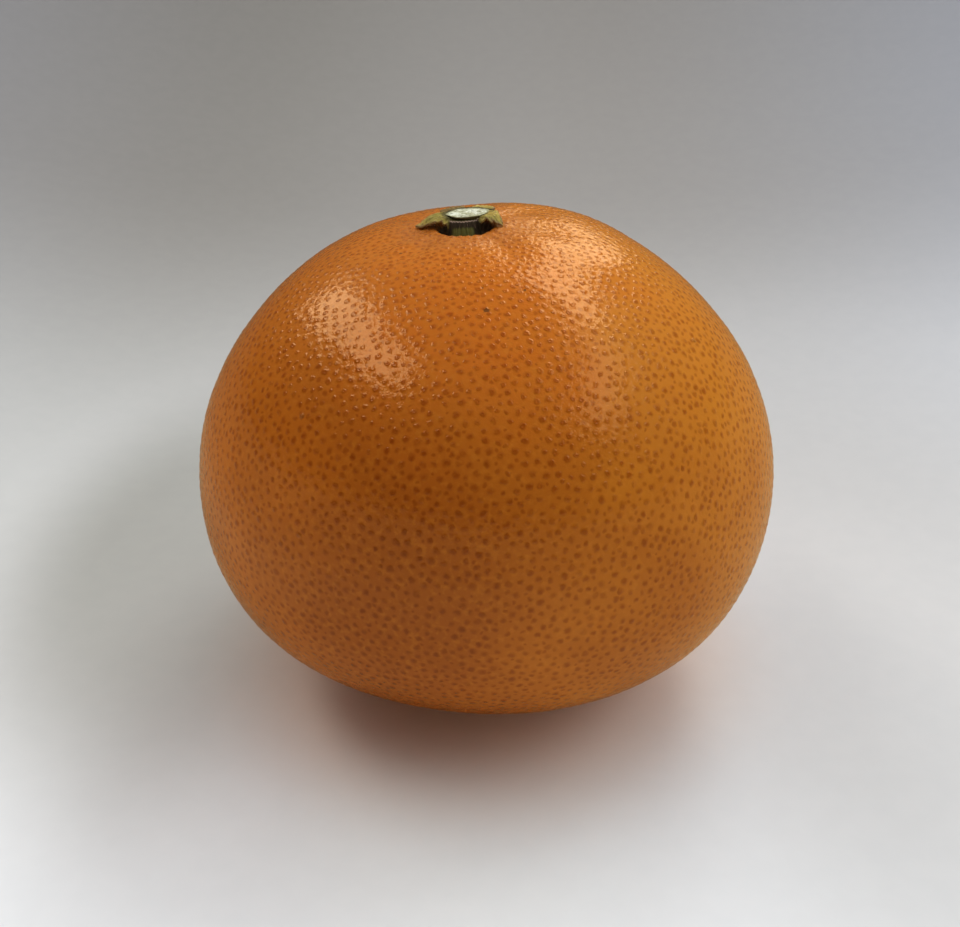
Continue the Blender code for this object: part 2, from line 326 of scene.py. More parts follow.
face_gland = np.tile(net_faces[:, 0], 3)
keep(peel, "gland_centre", "FLOAT_VECTOR", "FACE", peel_at[face_gland])
keep(peel, "gland_radius", "FLOAT", "FACE", gland_radius[face_gland])
keep(peel, "gland_tint", "FLOAT", "FACE", gland_tint[face_gland])
gap = TOP_HEIGHT * np.linalg.norm(corner_ways[:, None] - gland_ways[gland_triangles], axis=2).min(axis=1)
pairs = net_faces[:, 1:] - glands
has_small = np.ones(len(gap), bool)
has_small[pairs[gap[pairs[:, 0]] > gap[pairs[:, 1]], 1]] = False
small_radius = np.where(has_small, rng.uniform(*SMALL_GLAND_RADII, len(gap)), NO_GLAND_RADIUS)
for side, column in (("one", 1), ("other", 2)):
    corner = np.tile(net_faces[:, column], 3)
    keep(peel, f"{side}_small_centre", "FLOAT_VECTOR", "FACE", peel_at[corner])
    keep(peel, f"{side}_small_radius", "FLOAT", "FACE", small_radius[corner - glands])
stem_reach = np.arccos(np.clip(local_ways[:, 2], -1, 1)) * TOP_HEIGHT
keep(peel, "stem_reach", "FLOAT", "POINT", stem_reach / MM)
keep(peel, "hollow", "FLOAT", "POINT", round_stem(ways)[2])
speck_ways = np.array([direction(*speck[:2]) for speck in SPECKS.values()])
speck_at = peel_points(speck_ways, np.full(len(speck_ways), base_rise.mean())) - SEAT
face_at = peel_at[peel_faces].mean(axis=1)
nearest = np.argmin(np.linalg.norm(face_at[:, None] - speck_at, axis=2), axis=1)
keep(peel, "speck_centre", "FLOAT_VECTOR", "FACE", speck_at[nearest])
speck_radius, speck_tint, speck_rise = np.array(list(SPECKS.values()))[:, 2:].T
keep(peel, "speck_radius", "FLOAT", "FACE", speck_radius[nearest])
keep(peel, "speck_tint", "FLOAT", "FACE", speck_tint[nearest])
keep(peel, "speck_rise", "FLOAT", "FACE", speck_rise[nearest])


def mottling_group():
    """Noise at a place, as it is and as a mask that runs from 0 at one of its levels to 1 at another."""
    group = bpy.data.node_groups.new("mottling", "ShaderNodeTree")
    group.interface.new_socket("Place", in_out="INPUT", socket_type="NodeSocketVector")
    for name in ("Scale", "Detail", "Roughness", "Low", "High"):
        group.interface.new_socket(name, in_out="INPUT", socket_type="NodeSocketFloat")
    for name in ("Noise", "Mask"):
        group.interface.new_socket(name, in_out="OUTPUT", socket_type="NodeSocketFloat")
    given = group.nodes.new("NodeGroupInput").outputs
    result = group.nodes.new("NodeGroupOutput").inputs
    texture = group.nodes.new("ShaderNodeTexNoise")
    step = group.nodes.new("ShaderNodeMapRange")
    step.interpolation_type = "SMOOTHSTEP"
    group.links.new(given["Place"], texture.inputs["Vector"])
    for name in ("Scale", "Detail", "Roughness"):
        group.links.new(given[name], texture.inputs[name])
    group.links.new(texture.outputs["Fac"], step.inputs["Value"])
    group.links.new(given["Low"], step.inputs["From Min"])
    group.links.new(given["High"], step.inputs["From Max"])
    group.links.new(texture.outputs["Fac"], result["Noise"])
    group.links.new(step.outputs["Result"], result["Mask"])
    return group


MOTTLING = mottling_group()


class Nodes:
    """Adds nodes to a material and joins them: a socket or a value goes in, a socket comes out."""

    def __init__(self, name):
        self.material = bpy.data.materials.new(name)
        self.material.use_nodes = True
        self.tree = self.material.node_tree
        self.shader = self.tree.nodes["Principled BSDF"]

    def put(self, socket, value):
        if isinstance(value, bpy.types.NodeSocket):
            self.tree.links.new(value, socket)
        else:
            socket.default_value = value

    def add(self, kind, inputs=(), **settings):
        node = self.tree.nodes.new(kind)
        for name, value in settings.items():
            setattr(node, name, value)
        for name, value in dict(inputs).items():
            self.put(node.inputs[name], value)
        return node

    def math(self, operation, *values):
        node = self.add("ShaderNodeMath", operation=operation)
        for socket, value in zip(node.inputs, values):
            self.put(socket, value)
        return node.outputs[0]

    def attribute(self, name, output="Fac"):
        return self.add("ShaderNodeAttribute", attribute_name=name).outputs[output]

    def between(self, value, start, end, low=0.0, high=1.0):
        inputs = {"Value": value, "From Min": start, "From Max": end, "To Min": low, "To Max": high}
        return self.add("ShaderNodeMapRange", inputs, interpolation_type="SMOOTHSTEP").outputs["Result"]

    def mottling(self, place, scale, detail=2.0, roughness=0.5, low=0.35, high=0.65):
        inputs = {"Place": place, "Scale": scale, "Detail": detail, "Roughness": roughness}
        inputs.update({"Low": low, "High": high})
        return self.add("ShaderNodeGroup", inputs, node_tree=MOTTLING).outputs

    def speckle(self, place, scale, detail=2.0, roughness=0.5):
        return self.mottling(place, scale, detail, roughness)["Noise"]

    def mask(self, place, scale, low, high, detail=3.0):
        return self.mottling(place, scale, detail, low=low, high=high)["Mask"]

    def mix(self, share, first, second, blend="MIX"):
        node = self.add("ShaderNodeMix", data_type="RGBA", blend_type=blend)
        self.put(node.inputs[0], share)
        for socket, value in ((node.inputs[6], first), (node.inputs[7], second)):
            self.put(socket, value if isinstance(value, bpy.types.NodeSocket) else (*value, 1.0))
        return node.outputs[2]

    def place(self):
        return self.add("ShaderNodeTexCoord").outputs["Object"]

    def how_far(self, first, second):
        node = self.add("ShaderNodeVectorMath", operation="DISTANCE")
        self.put(node.inputs[0], first)
        self.put(node.inputs[1], second)
        return node.outputs["Value"]

    def shifted(self, place, scale, most):
        """The place, moved by noise of that scale by up to about that much."""
        noise_node = self.add("ShaderNodeTexNoise", {"Vector": place, "Scale": scale, "Detail": 1.0})
        centred = self.add("ShaderNodeVectorMath", operation="SUBTRACT")
        self.put(centred.inputs[0], noise_node.outputs["Color"])
        self.put(centred.inputs[1], (0.5, 0.5, 0.5))
        moved = self.add("ShaderNodeVectorMath", operation="MULTIPLY_ADD")
        self.put(moved.inputs[0], centred.outputs["Vector"])
        self.put(moved.inputs[1], (2 * most, 2 * most, 2 * most))
        self.put(moved.inputs[2], place)
        return moved.outputs["Vector"]

    def off_centre(self, place, name):
        """How far a place is from the middle of its own gland or speck, in radii of it."""
        off = self.how_far(place, self.attribute(f"{name}_centre", "Vector"))
        return self.math("DIVIDE", off, self.attribute(f"{name}_radius"))

    def shaded(self, share, colour, shade):
        """The colour, multiplied by the shade where the share is 1."""
        return self.mix(share, colour, shade, "MULTIPLY")

    def finish(self, colour, roughness, height):
        bump = self.add("ShaderNodeBump", {"Strength": 1.0, "Distance": 1.0, "Height": height})
        self.put(self.shader.inputs["Base Color"], colour)
        self.put(self.shader.inputs["Roughness"], roughness)
        self.put(self.shader.inputs["Normal"], bump.outputs["Normal"])
        return self.material


# Colours of the peel on its left and right, and where it is a little riper
PEEL_LEFT = (0.53, 0.140, 0.012)
PEEL_RIGHT = (0.56, 0.184, 0.017)
PEEL_RIPER = (0.60, 0.20, 0.02)
# How the glands darken it, the colours round the stem, the painted shade in the hollow under the calyx's
# lobes, and the colours on the scar and of specks
GLAND_SHADE = (0.62, 0.47, 0.37)
NEAR_STEM = (0.30, 0.12, 0.03)
HOLLOW_PAINTED_SHADE = (0.075, 0.042, 0.015)
SCAR_TONE = (0.20, 0.10, 0.04)
SPECK_TONE = (0.16, 0.05, 0.012)
# The finest relief, too small for the mesh
DOME_RISE = 0.027 * MM
PORE_DEPTH = 0.015 * MM
STEM_WRINKLE_RISE = 0.13 * MM
GRAIN_RISE = 0.04 * MM
# Where the peel has ripened redder, how far that spreads, and its colour. The first two, on its front, are
# also much darker: painted shade where the front faces away from the lights
REDDER_AND_SHADED_PATCHES = (
    ((-10 * MM, -31 * MM, 25 * MM), 36 * MM, (0.33, 0.080, 0.008)),
    ((18 * MM, -28 * MM, 26 * MM), 22 * MM, (0.42, 0.115, 0.010)),
    ((0.0, -17 * MM, 52 * MM), 20 * MM, (0.58, 0.140, 0.010)),
)


def peel_material():
    n = Nodes("waxy orange peel")
    here = n.place()
    uneven = n.shifted(here, 1500, 0.24 * MM)
    gland_off = n.off_centre(uneven, "gland")
    dots = n.math("MULTIPLY", n.between(gland_off, 1.45, 0.25), n.attribute("gland_tint"))
    for side in ("one", "other"):
        small = n.between(n.off_centre(uneven, f"{side}_small"), 1.5, 0.4)
        dots = n.math("MAXIMUM", dots, n.math("MULTIPLY", small, 0.7))
    drift = n.math("MULTIPLY", n.speckle(here, 70, 3), 30 * MM)
    across = n.math("ADD", n.add("ShaderNodeSeparateXYZ", {"Vector": here}).outputs["X"], drift)
    colour = n.mix(n.between(across, 0.0, 45 * MM), PEEL_LEFT, PEEL_RIGHT)
    # Redder patches of peel; the two on the front also carry painted shade
    for middle, spread, cheek in REDDER_AND_SHADED_PATCHES:
        off = n.math("ADD", n.how_far(here, middle), drift)
        colour = n.mix(n.between(off, spread + 15 * MM, 17 * MM), colour, cheek)
    colour = n.mix(n.math("MULTIPLY", n.mask(here, 1400, 0.45, 0.75), 0.3), colour, PEEL_RIPER)
    colour = n.shaded(dots, colour, GLAND_SHADE)
    reach = n.attribute("stem_reach")
    ragged = n.math("ADD", reach, n.math("MULTIPLY", n.speckle(here, 500, 3), 3.0))
    near_stem = n.between(ragged, 11.5, 8.0)
    colour = n.mix(n.math("MULTIPLY", near_stem, 0.15), colour, NEAR_STEM)
    # Painted shade in the hollow round the stem, where the calyx's lobes overhang the peel
    hollow = n.math("ADD", n.attribute("hollow"), n.math("MULTIPLY", n.speckle(here, 1500, 2), 0.4))
    dark = n.between(hollow, 0.4, 0.75)
    colour = n.mix(dark, colour, HOLLOW_PAINTED_SHADE)
    scar = n.between(ragged, 94.4, 96.2)
    colour = n.mix(n.math("MULTIPLY", scar, 0.75), colour, SCAR_TONE)
    speck_off = n.off_centre(here, "speck")
    ragged_off = n.math("ADD", speck_off, n.math("MULTIPLY", n.speckle(here, 4500, 2), 2.4))
    speck = n.math("MULTIPLY", n.between(ragged_off, 2.5, 1.8), n.attribute("speck_tint"))
    colour = n.mix(speck, colour, SPECK_TONE)
    roughness = n.between(n.speckle(here, 900, 3), 0.3, 0.7, 0.06, 0.1)
    dull = n.math("MAXIMUM", n.math("MULTIPLY", near_stem, 0.2), n.math("MULTIPLY", dark, 0.6))
    roughness = n.math("ADD", roughness, dull)
    dome = n.math("MULTIPLY", n.between(gland_off, 0.95, 0.4), DOME_RISE)
    pore = n.math("MULTIPLY", n.between(gland_off, 0.42, 0.05), -PORE_DEPTH)
    drop = n.math("MULTIPLY", n.between(speck_off, 1.2, 0.0), n.attribute("speck_rise"))
    wrinkled = n.math("MULTIPLY", n.between(reach, 22.0, 11.0), STEM_WRINKLE_RISE)
    wrinkles = n.math("MULTIPLY", n.speckle(uneven, 1200, 3), wrinkled)
    grain = n.math("MULTIPLY", n.speckle(here, 2600, 2, 0.5), GRAIN_RISE)
    height = n.math("ADD", n.math("ADD", n.math("ADD", dome, pore), drop), n.math("ADD", wrinkles, grain))
    n.shader.inputs["IOR"].default_value = 1.48
    n.shader.inputs["Specular Tint"].default_value = (1.0, 0.92, 0.80, 1.0)
    n.shader.inputs["Subsurface Weight"].default_value = 0.08
    n.shader.inputs["Subsurface Radius"].default_value = (1.0, 0.4, 0.1)
    n.shader.inputs["Subsurface Scale"].default_value = 1.2 * MM
    return n.finish(colour, roughness, height)


peel.data.materials.append(peel_material())
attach(peel, "root")
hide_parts("fruit")

# The calyx. The dry green button of the flower that the fruit grew from: one piece with five lobes,
# which holds on in the hollow by the stem's fibres. Four lobes bend down at their shoulders, and the
# broad one in front has dried and hangs into the hollow.
# Azimuth, tip radius, height of the shoulder, radii where it starts to droop and where it lies, bluntness
LOBES = {
    "front, dried and hanging": (-95, 4.3 * MM, 0.0 * MM, 2.25 * MM, 3.8 * MM, 0.35),
    "right": (-23, 4.5 * MM, 0.3 * MM, 3.4 * MM, 4.5 * MM, 0.75),
    "back right": (49, 4.6 * MM, 0.22 * MM, 3.5 * MM, 5.6 * MM, 1.0),
    "back left": (121, 4.7 * MM, 0.25 * MM, 3.4 * MM, 5.2 * MM, 1.0),
    "left": (187, 5.8 * MM, 0.35 * MM, 3.0 * MM, 5.6 * MM, 1.15),
}
NOTCH_RADIUS = 3.0 * MM
CALYX_THICKNESS = 0.7 * MM
CALYX_EDGE = 0.18 * MM
DISC_RADIUS = 1.7 * MM
DISC_RISE = 1.16 * MM
SHOULDER_RADIUS = 2.5 * MM
CLEARANCE = 0.35 * MM
EDGE_CLEARANCE = 0.03 * MM
CALYX_SECTORS = 300
CALYX_RINGS = 34
CRINKLE = 0.06 * MM
CRINKLE_LENGTH = 0.5 * MM
VEINS = 44
# How far a vein bends, in radians, and the length of a bend
VEIN_BEND = (2, 0.9 * MM)
# How much lower the calyx lies at its notches
NOTCH_SAG = 0.25 * MM
# How uneven the edge is: by what share of its radius, how often round it, and where that starts
EDGE_WAVES = ((0.02, 23, 0), (0.015, 41, 1))
# Where the front lobe has split, in degrees, how wide and by what share of its radius
SPLITS = (-119, -73)
SPLIT_SPREAD = math.radians(2.5)
SPLIT_DEPTH = 0.06
# Where the front lobe's colours give way to the others', and the fade beside its toe, in radians
FRONT_FADE = (math.radians(36), math.radians(42))
TOE_FADE = 0.05
BROWN_LOBE = list(LOBES).index("back left")


def peel_height(x, y):
    """Height of the peel over a place beside the stem's axis, in the stem's own frame."""
    z = np.full(len(x), TOP_HEIGHT - DIP_DEPTH)
    for _ in range(3):
        local = unit(np.column_stack([x, y, z]))
        z = local[:, 2] * fruit_radius(local @ STEM_FRAME.T)
    return z


def lobe_at(azimuth):
    """The lobe at each azimuth, its sizes, how far into it that is (0 at a notch) and the edge's radius."""
    lobes = np.array(list(LOBES.values()))
    turns = np.array([turn_between(azimuth, math.radians(lobe[0])) for lobe in lobes])
    number = np.argmin(turns, axis=0)
    depth = np.clip(1 - turns.min(axis=0) * len(lobes) / math.pi, 0.0, 1.0)
    edge = NOTCH_RADIUS + (lobes[number, 1] - NOTCH_RADIUS) * depth ** lobes[number, 5]
    edge *= 1 + sum(share * np.sin(often * azimuth + start) for share, often, start in EDGE_WAVES)
    return number, lobes[number], depth, edge


def calyx_sheet(x, y):
    """The height of the calyx's upper face over a place, and its thickness there."""
    reach = np.hypot(x, y)
    number, lobe, depth, edge = lobe_at(np.arctan2(y, x))
    thin = smooth_step(reach / edge, 0.55, 1.0)
    thickness = CALYX_THICKNESS - (CALYX_THICKNESS - CALYX_EDGE) * thin
    lying = peel_height(x, y) + CLEARANCE - (CLEARANCE - EDGE_CLEARANCE) * thin + thickness
    disc = peel_height(np.zeros(1), np.zeros(1)) + CLEARANCE + CALYX_THICKNESS + DISC_RISE
    up = smooth_step(depth, 0.0, 0.35) * smooth_step(reach, DISC_RADIUS, SHOULDER_RADIUS)
    t = np.clip((reach - lobe[:, 3]) / (lobe[:, 4] - lobe[:, 3]), 0.0, 1.0)
    droop = t * t * (3 - 2 * t) * np.where(number == 0, 1.0, smooth_step(depth, 0.0, 0.15))
    sag = (1 - smooth_step(depth, 0.0, 0.3)) * smooth_step(reach, SHOULDER_RADIUS, NOTCH_RADIUS)
    standing = disc + lobe[:, 2] * up - NOTCH_SAG * sag
    return np.maximum(standing * (1 - droop) + lying * droop, lying), thickness


def round_net(rings, sectors):
    """Faces of a net round point 0, then where its last ring starts and the two ends of each sector."""
    starts = 1 + np.arange(rings) * sectors
    ends = [(i, (i + 1) % sectors) for i in range(sectors)]
    faces = [[0, starts[0] + a, starts[0] + b] for a, b in ends]
    for inner, outer in zip(starts, starts[1:]):
        faces += [[inner + a, outer + a, outer + b, inner + b] for a, b in ends]
    return faces, starts[-1], ends


sector = np.arange(CALYX_SECTORS) * 2 * math.pi / CALYX_SECTORS
ring_share = np.linspace(0, 1, CALYX_RINGS + 1)[1:]
share_at, azimuth_at = (grid.ravel() for grid in np.meshgrid(ring_share, sector, indexing="ij"))
lobe_number, _, depth, edge_radius = lobe_at(azimuth_at)
for way in SPLITS:
    off_split = turn_between(azimuth_at, math.radians(way)) / SPLIT_SPREAD
    edge_radius *= 1 - SPLIT_DEPTH * np.exp(-(off_split**2))
reach_at = np.concatenate([[0.0], share_at * edge_radius])
azimuth_at = np.concatenate([[0.0], azimuth_at])
share_at = np.concatenate([[0.0], share_at])
front_way = math.radians(LOBES["front, dried and hanging"][0])
is_front = 1 - smooth_step(turn_between(azimuth_at, front_way), *FRONT_FADE)
is_brown = np.concatenate([[0.0], (lobe_number == BROWN_LOBE) * smooth_step(depth, 0.0, 0.3)])
toe_middle = math.radians(sum(SPLITS) / 2)
half_toe = math.radians(SPLITS[1] - SPLITS[0]) / 2
beside_toe = smooth_step(turn_between(azimuth_at, toe_middle), half_toe - TOE_FADE, half_toe + TOE_FADE)
x, y = reach_at * np.cos(azimuth_at), reach_at * np.sin(azimuth_at)
top, thickness = calyx_sheet(x, y)
veins = np.sin(VEINS * azimuth_at + VEIN_BEND[0] * np.sin(reach_at / VEIN_BEND[1]))
veins *= smooth_step(reach_at, DISC_RADIUS, SHOULDER_RADIUS)
crinkled = np.array([noise.noise(Vector((a, b, 0)) / CRINKLE_LENGTH) for a, b in zip(x, y)])
top = top + CRINKLE * (0.6 * veins + crinkled)
upper = np.column_stack([x, y, top])
lower = np.column_stack([x, y, top - thickness])
under = len(upper)
upper_faces, last, ends = round_net(CALYX_RINGS, CALYX_SECTORS)
lower_faces = [[under + v for v in face[::-1]] for face in upper_faces]
rim_faces = [[last + a, under + last + a, under + last + b, last + b] for a, b in ends]
calyx_points = np.concatenate([upper, lower]) @ STEM_FRAME.T - SEAT
calyx_lobes = mesh_object("calyx_lobes", calyx_points, upper_faces + lower_faces + rim_faces)
kept = {"edge": share_at, "reach": reach_at / MM, "front": is_front, "brown": is_brown}
kept["beside_toe"] = beside_toe
for name, values in kept.items():
    keep(calyx_lobes, name, "FLOAT", "POINT", np.tile(values, 2))
grain_at = np.column_stack([6 * np.cos(azimuth_at), 6 * np.sin(azimuth_at), reach_at / MM / 2])
keep(calyx_lobes, "grain", "FLOAT_VECTOR", "POINT", np.tile(grain_at, (2, 1)))

# Colours of the calyx: its greens, its streaks, flecks, edge and brown lobe, and round the stub
CALYX_GREENS = ((0.44, 0.30, 0.05), (0.25, 0.20, 0.03))
STREAK_TONE = (0.58, 0.48, 0.13)
FLECK_TONE = (0.10, 0.06, 0.015)
EDGE_TONE = (0.22, 0.12, 0.06)
BROWN_TONE = (0.16, 0.09, 0.025)
DISC_TONES = ((0.05, 0.04, 0.01), (0.13, 0.12, 0.04))
# Colours of the front lobe: its dry fibres and their gaps, its toe and beside the toe, all darkened by
# painted shade where the lobe hangs into the hollow under the stub's head, and its pale torn line
FIBRE_TONES = ((0.025, 0.015, 0.007), (0.13, 0.075, 0.05))
FIBRE_GAP_SHADE = (0.03, 0.02, 0.008)
TOE_TONES = ((0.10, 0.10, 0.018), (0.15, 0.145, 0.03))
BESIDE_TOE_SHADE = (0.02, 0.015, 0.006)
TORN_TONE = (0.50, 0.34, 0.26)


def calyx_material():
    n = Nodes("dry green calyx")
    here = n.place()
    reach = n.attribute("reach")
    colour = n.mix(n.mask(here, 600, 0.35, 0.65), *CALYX_GREENS)
    streaks = n.speckle(n.attribute("grain", "Vector"), 3.5, 3, 0.6)
    colour = n.mix(n.math("MULTIPLY", n.between(streaks, 0.5, 0.7), 0.55), colour, STREAK_TONE)
    colour = n.mix(n.math("MULTIPLY", n.mask(here, 3000, 0.56, 0.68), 0.65), colour, FLECK_TONE)
    uneven = n.math("SUBTRACT", n.speckle(here, 1200, 2), 0.5)
    ragged = n.math("MULTIPLY_ADD", uneven, 0.2, n.attribute("edge"))
    colour = n.mix(n.math("MULTIPLY", n.between(ragged, 0.92, 1.0), 0.7), colour, EDGE_TONE)
    colour = n.mix(n.math("MULTIPLY", n.attribute("brown"), 0.8), colour, BROWN_TONE)
    disc = n.mix(n.between(streaks, 0.45, 0.6), *DISC_TONES)
    colour = n.mix(n.math("MULTIPLY", n.between(reach, 2.9, 2.4), 0.85), colour, disc)
    # The front lobe in the hollow: its dry fibres, the gaps between them, its toe and the flanks beside it,
    # darkened by painted shade under the stub's head
    fibres = n.mix(n.between(streaks, 0.55, 0.66), *FIBRE_TONES)
    fibres = n.mix(n.mask(here, 2500, 0.45, 0.6), fibres, FIBRE_GAP_SHADE)
    toe = n.mix(n.between(streaks, 0.4, 0.6), *TOE_TONES)
    toe = n.mix(n.attribute("beside_toe"), toe, BESIDE_TOE_SHADE)
    front = n.mix(n.between(reach, 2.85, 3.05), fibres, toe)
    front = n.mix(n.math("MULTIPLY", n.between(reach, 2.55, 2.5), 0.85), front, TORN_TONE)
    colour = n.mix(n.math("MULTIPLY", n.attribute("front"), n.between(reach, 2.35, 2.45)), colour, front)
    roughness = n.between(n.speckle(here, 600, 3), 0.3, 0.7, 0.5, 0.7)
    grain = n.math("MULTIPLY", n.speckle(here, 4000, 2), 0.04 * MM)
    height = n.math("MULTIPLY_ADD", streaks, 0.1 * MM, grain)
    n.shader.inputs["Specular IOR Level"].default_value = 0.25
    return n.finish(colour, roughness, height)


calyx_lobes.data.materials.append(calyx_material())
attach(calyx_lobes, "root")
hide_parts("calyx")

# The stub. What is left of the stem where it was clipped: a short neck of green wood that flares to
# the cut, whose face has dried pale, with pores and small cracks. It grows out of the calyx.
STUB_HEAD_RADIUS = 2.3 * MM
STUB_NECK_RADIUS = 2.0 * MM
STUB_LENGTH = 0.55 * MM
STUB_EDGE = 0.12 * MM
STUB_SHIFT = 0.3 * MM
# How far the cut's face has dried down, and how far the neck sits in the calyx
CUT_SETTLED = 0.12 * MM
STUB_ROOT = 0.1 * MM
STUB_SECTORS = 160
CUT_SLOPE = math.radians(2.5)
CUT_ROUGHNESS = 0.06 * MM
CUT_ROUGH_LENGTH = 0.7 * MM
# How far the torn edge hangs, and at how many times the head's radius
TORN_DROOP = 0.12 * MM
TORN_REACH = 1.15
# How the neck flares towards the head, as a power
NECK_FLARE = 2.2
# Steps of the outline over the cut, round its edge and down the neck
STUB_STEPS = (23, 7, 11)
# How uneven the stub is: by what share of its radius, how often round it, and where that starts
STUB_WAVES = ((0.02, 3, 1), (0.012, 7, 0), (0.006, 19, 0))
# Where fibres stand out of the torn edge: azimuth and spread in degrees, and by what share of the radius
TORN_EDGE = ((175, 20, 0.2), (5, 15, 0.28), (-60, 8, 0.03), (-120, 7, 0.04))

cut_shares, edge_shares, neck_shares = (np.linspace(0, 1, steps + 1)[1:] for steps in STUB_STEPS)
inner_radius, edge_height = STUB_HEAD_RADIUS - STUB_EDGE, STUB_LENGTH - STUB_EDGE
cut = [(share * inner_radius, STUB_LENGTH) for share in cut_shares]
edge_turns = math.pi / 2 - edge_shares * (math.pi / 2 + math.pi / 3)
edge = [(inner_radius + STUB_EDGE * math.cos(a), edge_height + STUB_EDGE * math.sin(a)) for a in edge_turns]
flare, neck_length = edge[-1][0] - STUB_NECK_RADIUS, edge[-1][1]
neck = [(STUB_NECK_RADIUS + flare * (1 - s) ** NECK_FLARE, neck_length * (1 - s)) for s in neck_shares]
outline = np.array(cut + edge + neck)
stub_turns = np.arange(STUB_SECTORS) * 2 * math.pi / STUB_SECTORS
turn, along = (grid.ravel() for grid in np.meshgrid(stub_turns, np.arange(len(outline))))
radius, height_at = outline[along].T
uneven = 1 + sum(share * np.sin(often * turn + start) for share, often, start in STUB_WAVES)
for way, spread, most in TORN_EDGE:
    uneven += most * np.exp(-((turn_between(turn, math.radians(way)) / math.radians(spread)) ** 2))
radius = radius * uneven
x, y = radius * np.cos(turn) + STUB_SHIFT, radius * np.sin(turn)
stub_at = np.column_stack([x, y, height_at]) / CUT_ROUGH_LENGTH
rough = np.array([noise.fractal(Vector(place), 1.0, 2.0, 3) for place in stub_at])
on_cut = smooth_step(height_at, edge_height, STUB_LENGTH)
beyond = smooth_step(radius, STUB_HEAD_RADIUS, TORN_REACH * STUB_HEAD_RADIUS)
lifted = CUT_ROUGHNESS * rough - y * math.tan(CUT_SLOPE) - TORN_DROOP * beyond - CUT_SETTLED
stub_top = [[STUB_SHIFT, 0, STUB_LENGTH - CUT_SETTLED]]
stub_foot = [[STUB_SHIFT, 0, 0]]
stub_points = np.concatenate([stub_top, np.column_stack([x, y, height_at + on_cut * lifted]), stub_foot])
stub_faces, last, ends = round_net(len(outline), STUB_SECTORS)
stub_faces += [[len(stub_points) - 1, last + b, last + a] for a, b in ends]
stub_base = calyx_sheet(np.zeros(1), np.zeros(1))[0][0] - STUB_ROOT
stub_points = (stub_points + [0, 0, stub_base]) @ STEM_FRAME.T - SEAT
cut_stub = mesh_object("cut_stub", stub_points, stub_faces)
keep(cut_stub, "on_cut", "FLOAT", "POINT", [1.0, *on_cut, 0.0])
keep(cut_stub, "off_middle", "FLOAT", "POINT", [0.0, *radius / STUB_HEAD_RADIUS, 0.0])

# Colours of the stub: its bark, its cut face, and the pores and the rim of the cut
BARK_TONES = ((0.055, 0.05, 0.014), (0.12, 0.10, 0.03))
CUT_TONES = ((0.70, 0.71, 0.55), (0.42, 0.42, 0.25))
CUT_PORE_TONE = (0.11, 0.11, 0.05)
CUT_RIM_TONE = (0.25, 0.25, 0.10)


def stub_material():
    n = Nodes("cut green stem")
    here = n.place()
    side = n.mix(n.mask(here, 700, 0.35, 0.65), *BARK_TONES)
    face = n.mix(n.mask(here, 900, 0.4, 0.62), *CUT_TONES)
    pores = n.mottling(here, 3600, 3, 0.6, 0.53, 0.62)
    face = n.mix(n.math("MULTIPLY", pores["Mask"], 0.85), face, CUT_PORE_TONE)
    outer = n.math("ADD", n.attribute("off_middle"), n.math("MULTIPLY", n.speckle(here, 1800, 2), 0.2))
    face = n.mix(n.math("MULTIPLY", n.between(outer, 0.98, 1.06), 0.6), face, CUT_RIM_TONE)
    colour = n.mix(n.between(n.attribute("on_cut"), 0.3, 0.9), side, face)
    roughness = n.between(n.speckle(here, 700, 3), 0.3, 0.7, 0.6, 0.75)
    return n.finish(colour, roughness, n.math("MULTIPLY", pores["Noise"], -0.08 * MM))


cut_stub.data.materials.append(stub_material())
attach(cut_stub, "root")
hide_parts("stem_stub")

# The floor. A plain sheet of pale grey paper, flat under the fruit and rising gently all round it, as a
# backdrop does. It is part of the stage, not of the fruit.
SHEET_FLAT_RADIUS = 0.045
SHEET_BEND_RADIUS = 0.38
SHEET_SLOPE = math.radians(36)
SHEET_BEND_STEPS = 24
# Beyond the bend the sheet runs on almost level
SHEET_END = 2.5
SHEET_END_SLOPE = math.radians(3)
SHEET_SECTORS = 128

bend = np.linspace(0, SHEET_SLOPE, SHEET_BEND_STEPS + 1)
sheet_out = SHEET_FLAT_RADIUS + SHEET_BEND_RADIUS * np.sin(bend)
sheet_up = SHEET_BEND_RADIUS * (1 - np.cos(bend))
end_up = sheet_up[-1] + (SHEET_END - sheet_out[-1]) * math.tan(SHEET_END_SLOPE)
sheet_turns = np.arange(SHEET_SECTORS) * 2 * math.pi / SHEET_SECTORS
out, turn = (grid.ravel() for grid in np.meshgrid([*sheet_out, SHEET_END], sheet_turns, indexing="ij"))
up = np.repeat([*sheet_up, end_up], SHEET_SECTORS)
sheet_points = np.column_stack([out * np.cos(turn), out * np.sin(turn), up])
sheet_faces, _, _ = round_net(len(sheet_out) + 1, SHEET_SECTORS)
paper = mesh_object("paper_sheet", np.concatenate([[[0.0, 0.0, 0.0]], sheet_points]), sheet_faces)

# Colours of the paper in front and behind; it darkens towards the back as painted shade
PAPER_FRONT = (0.78, 0.775, 0.77)
PAPER_BACK = (0.32, 0.302, 0.286)
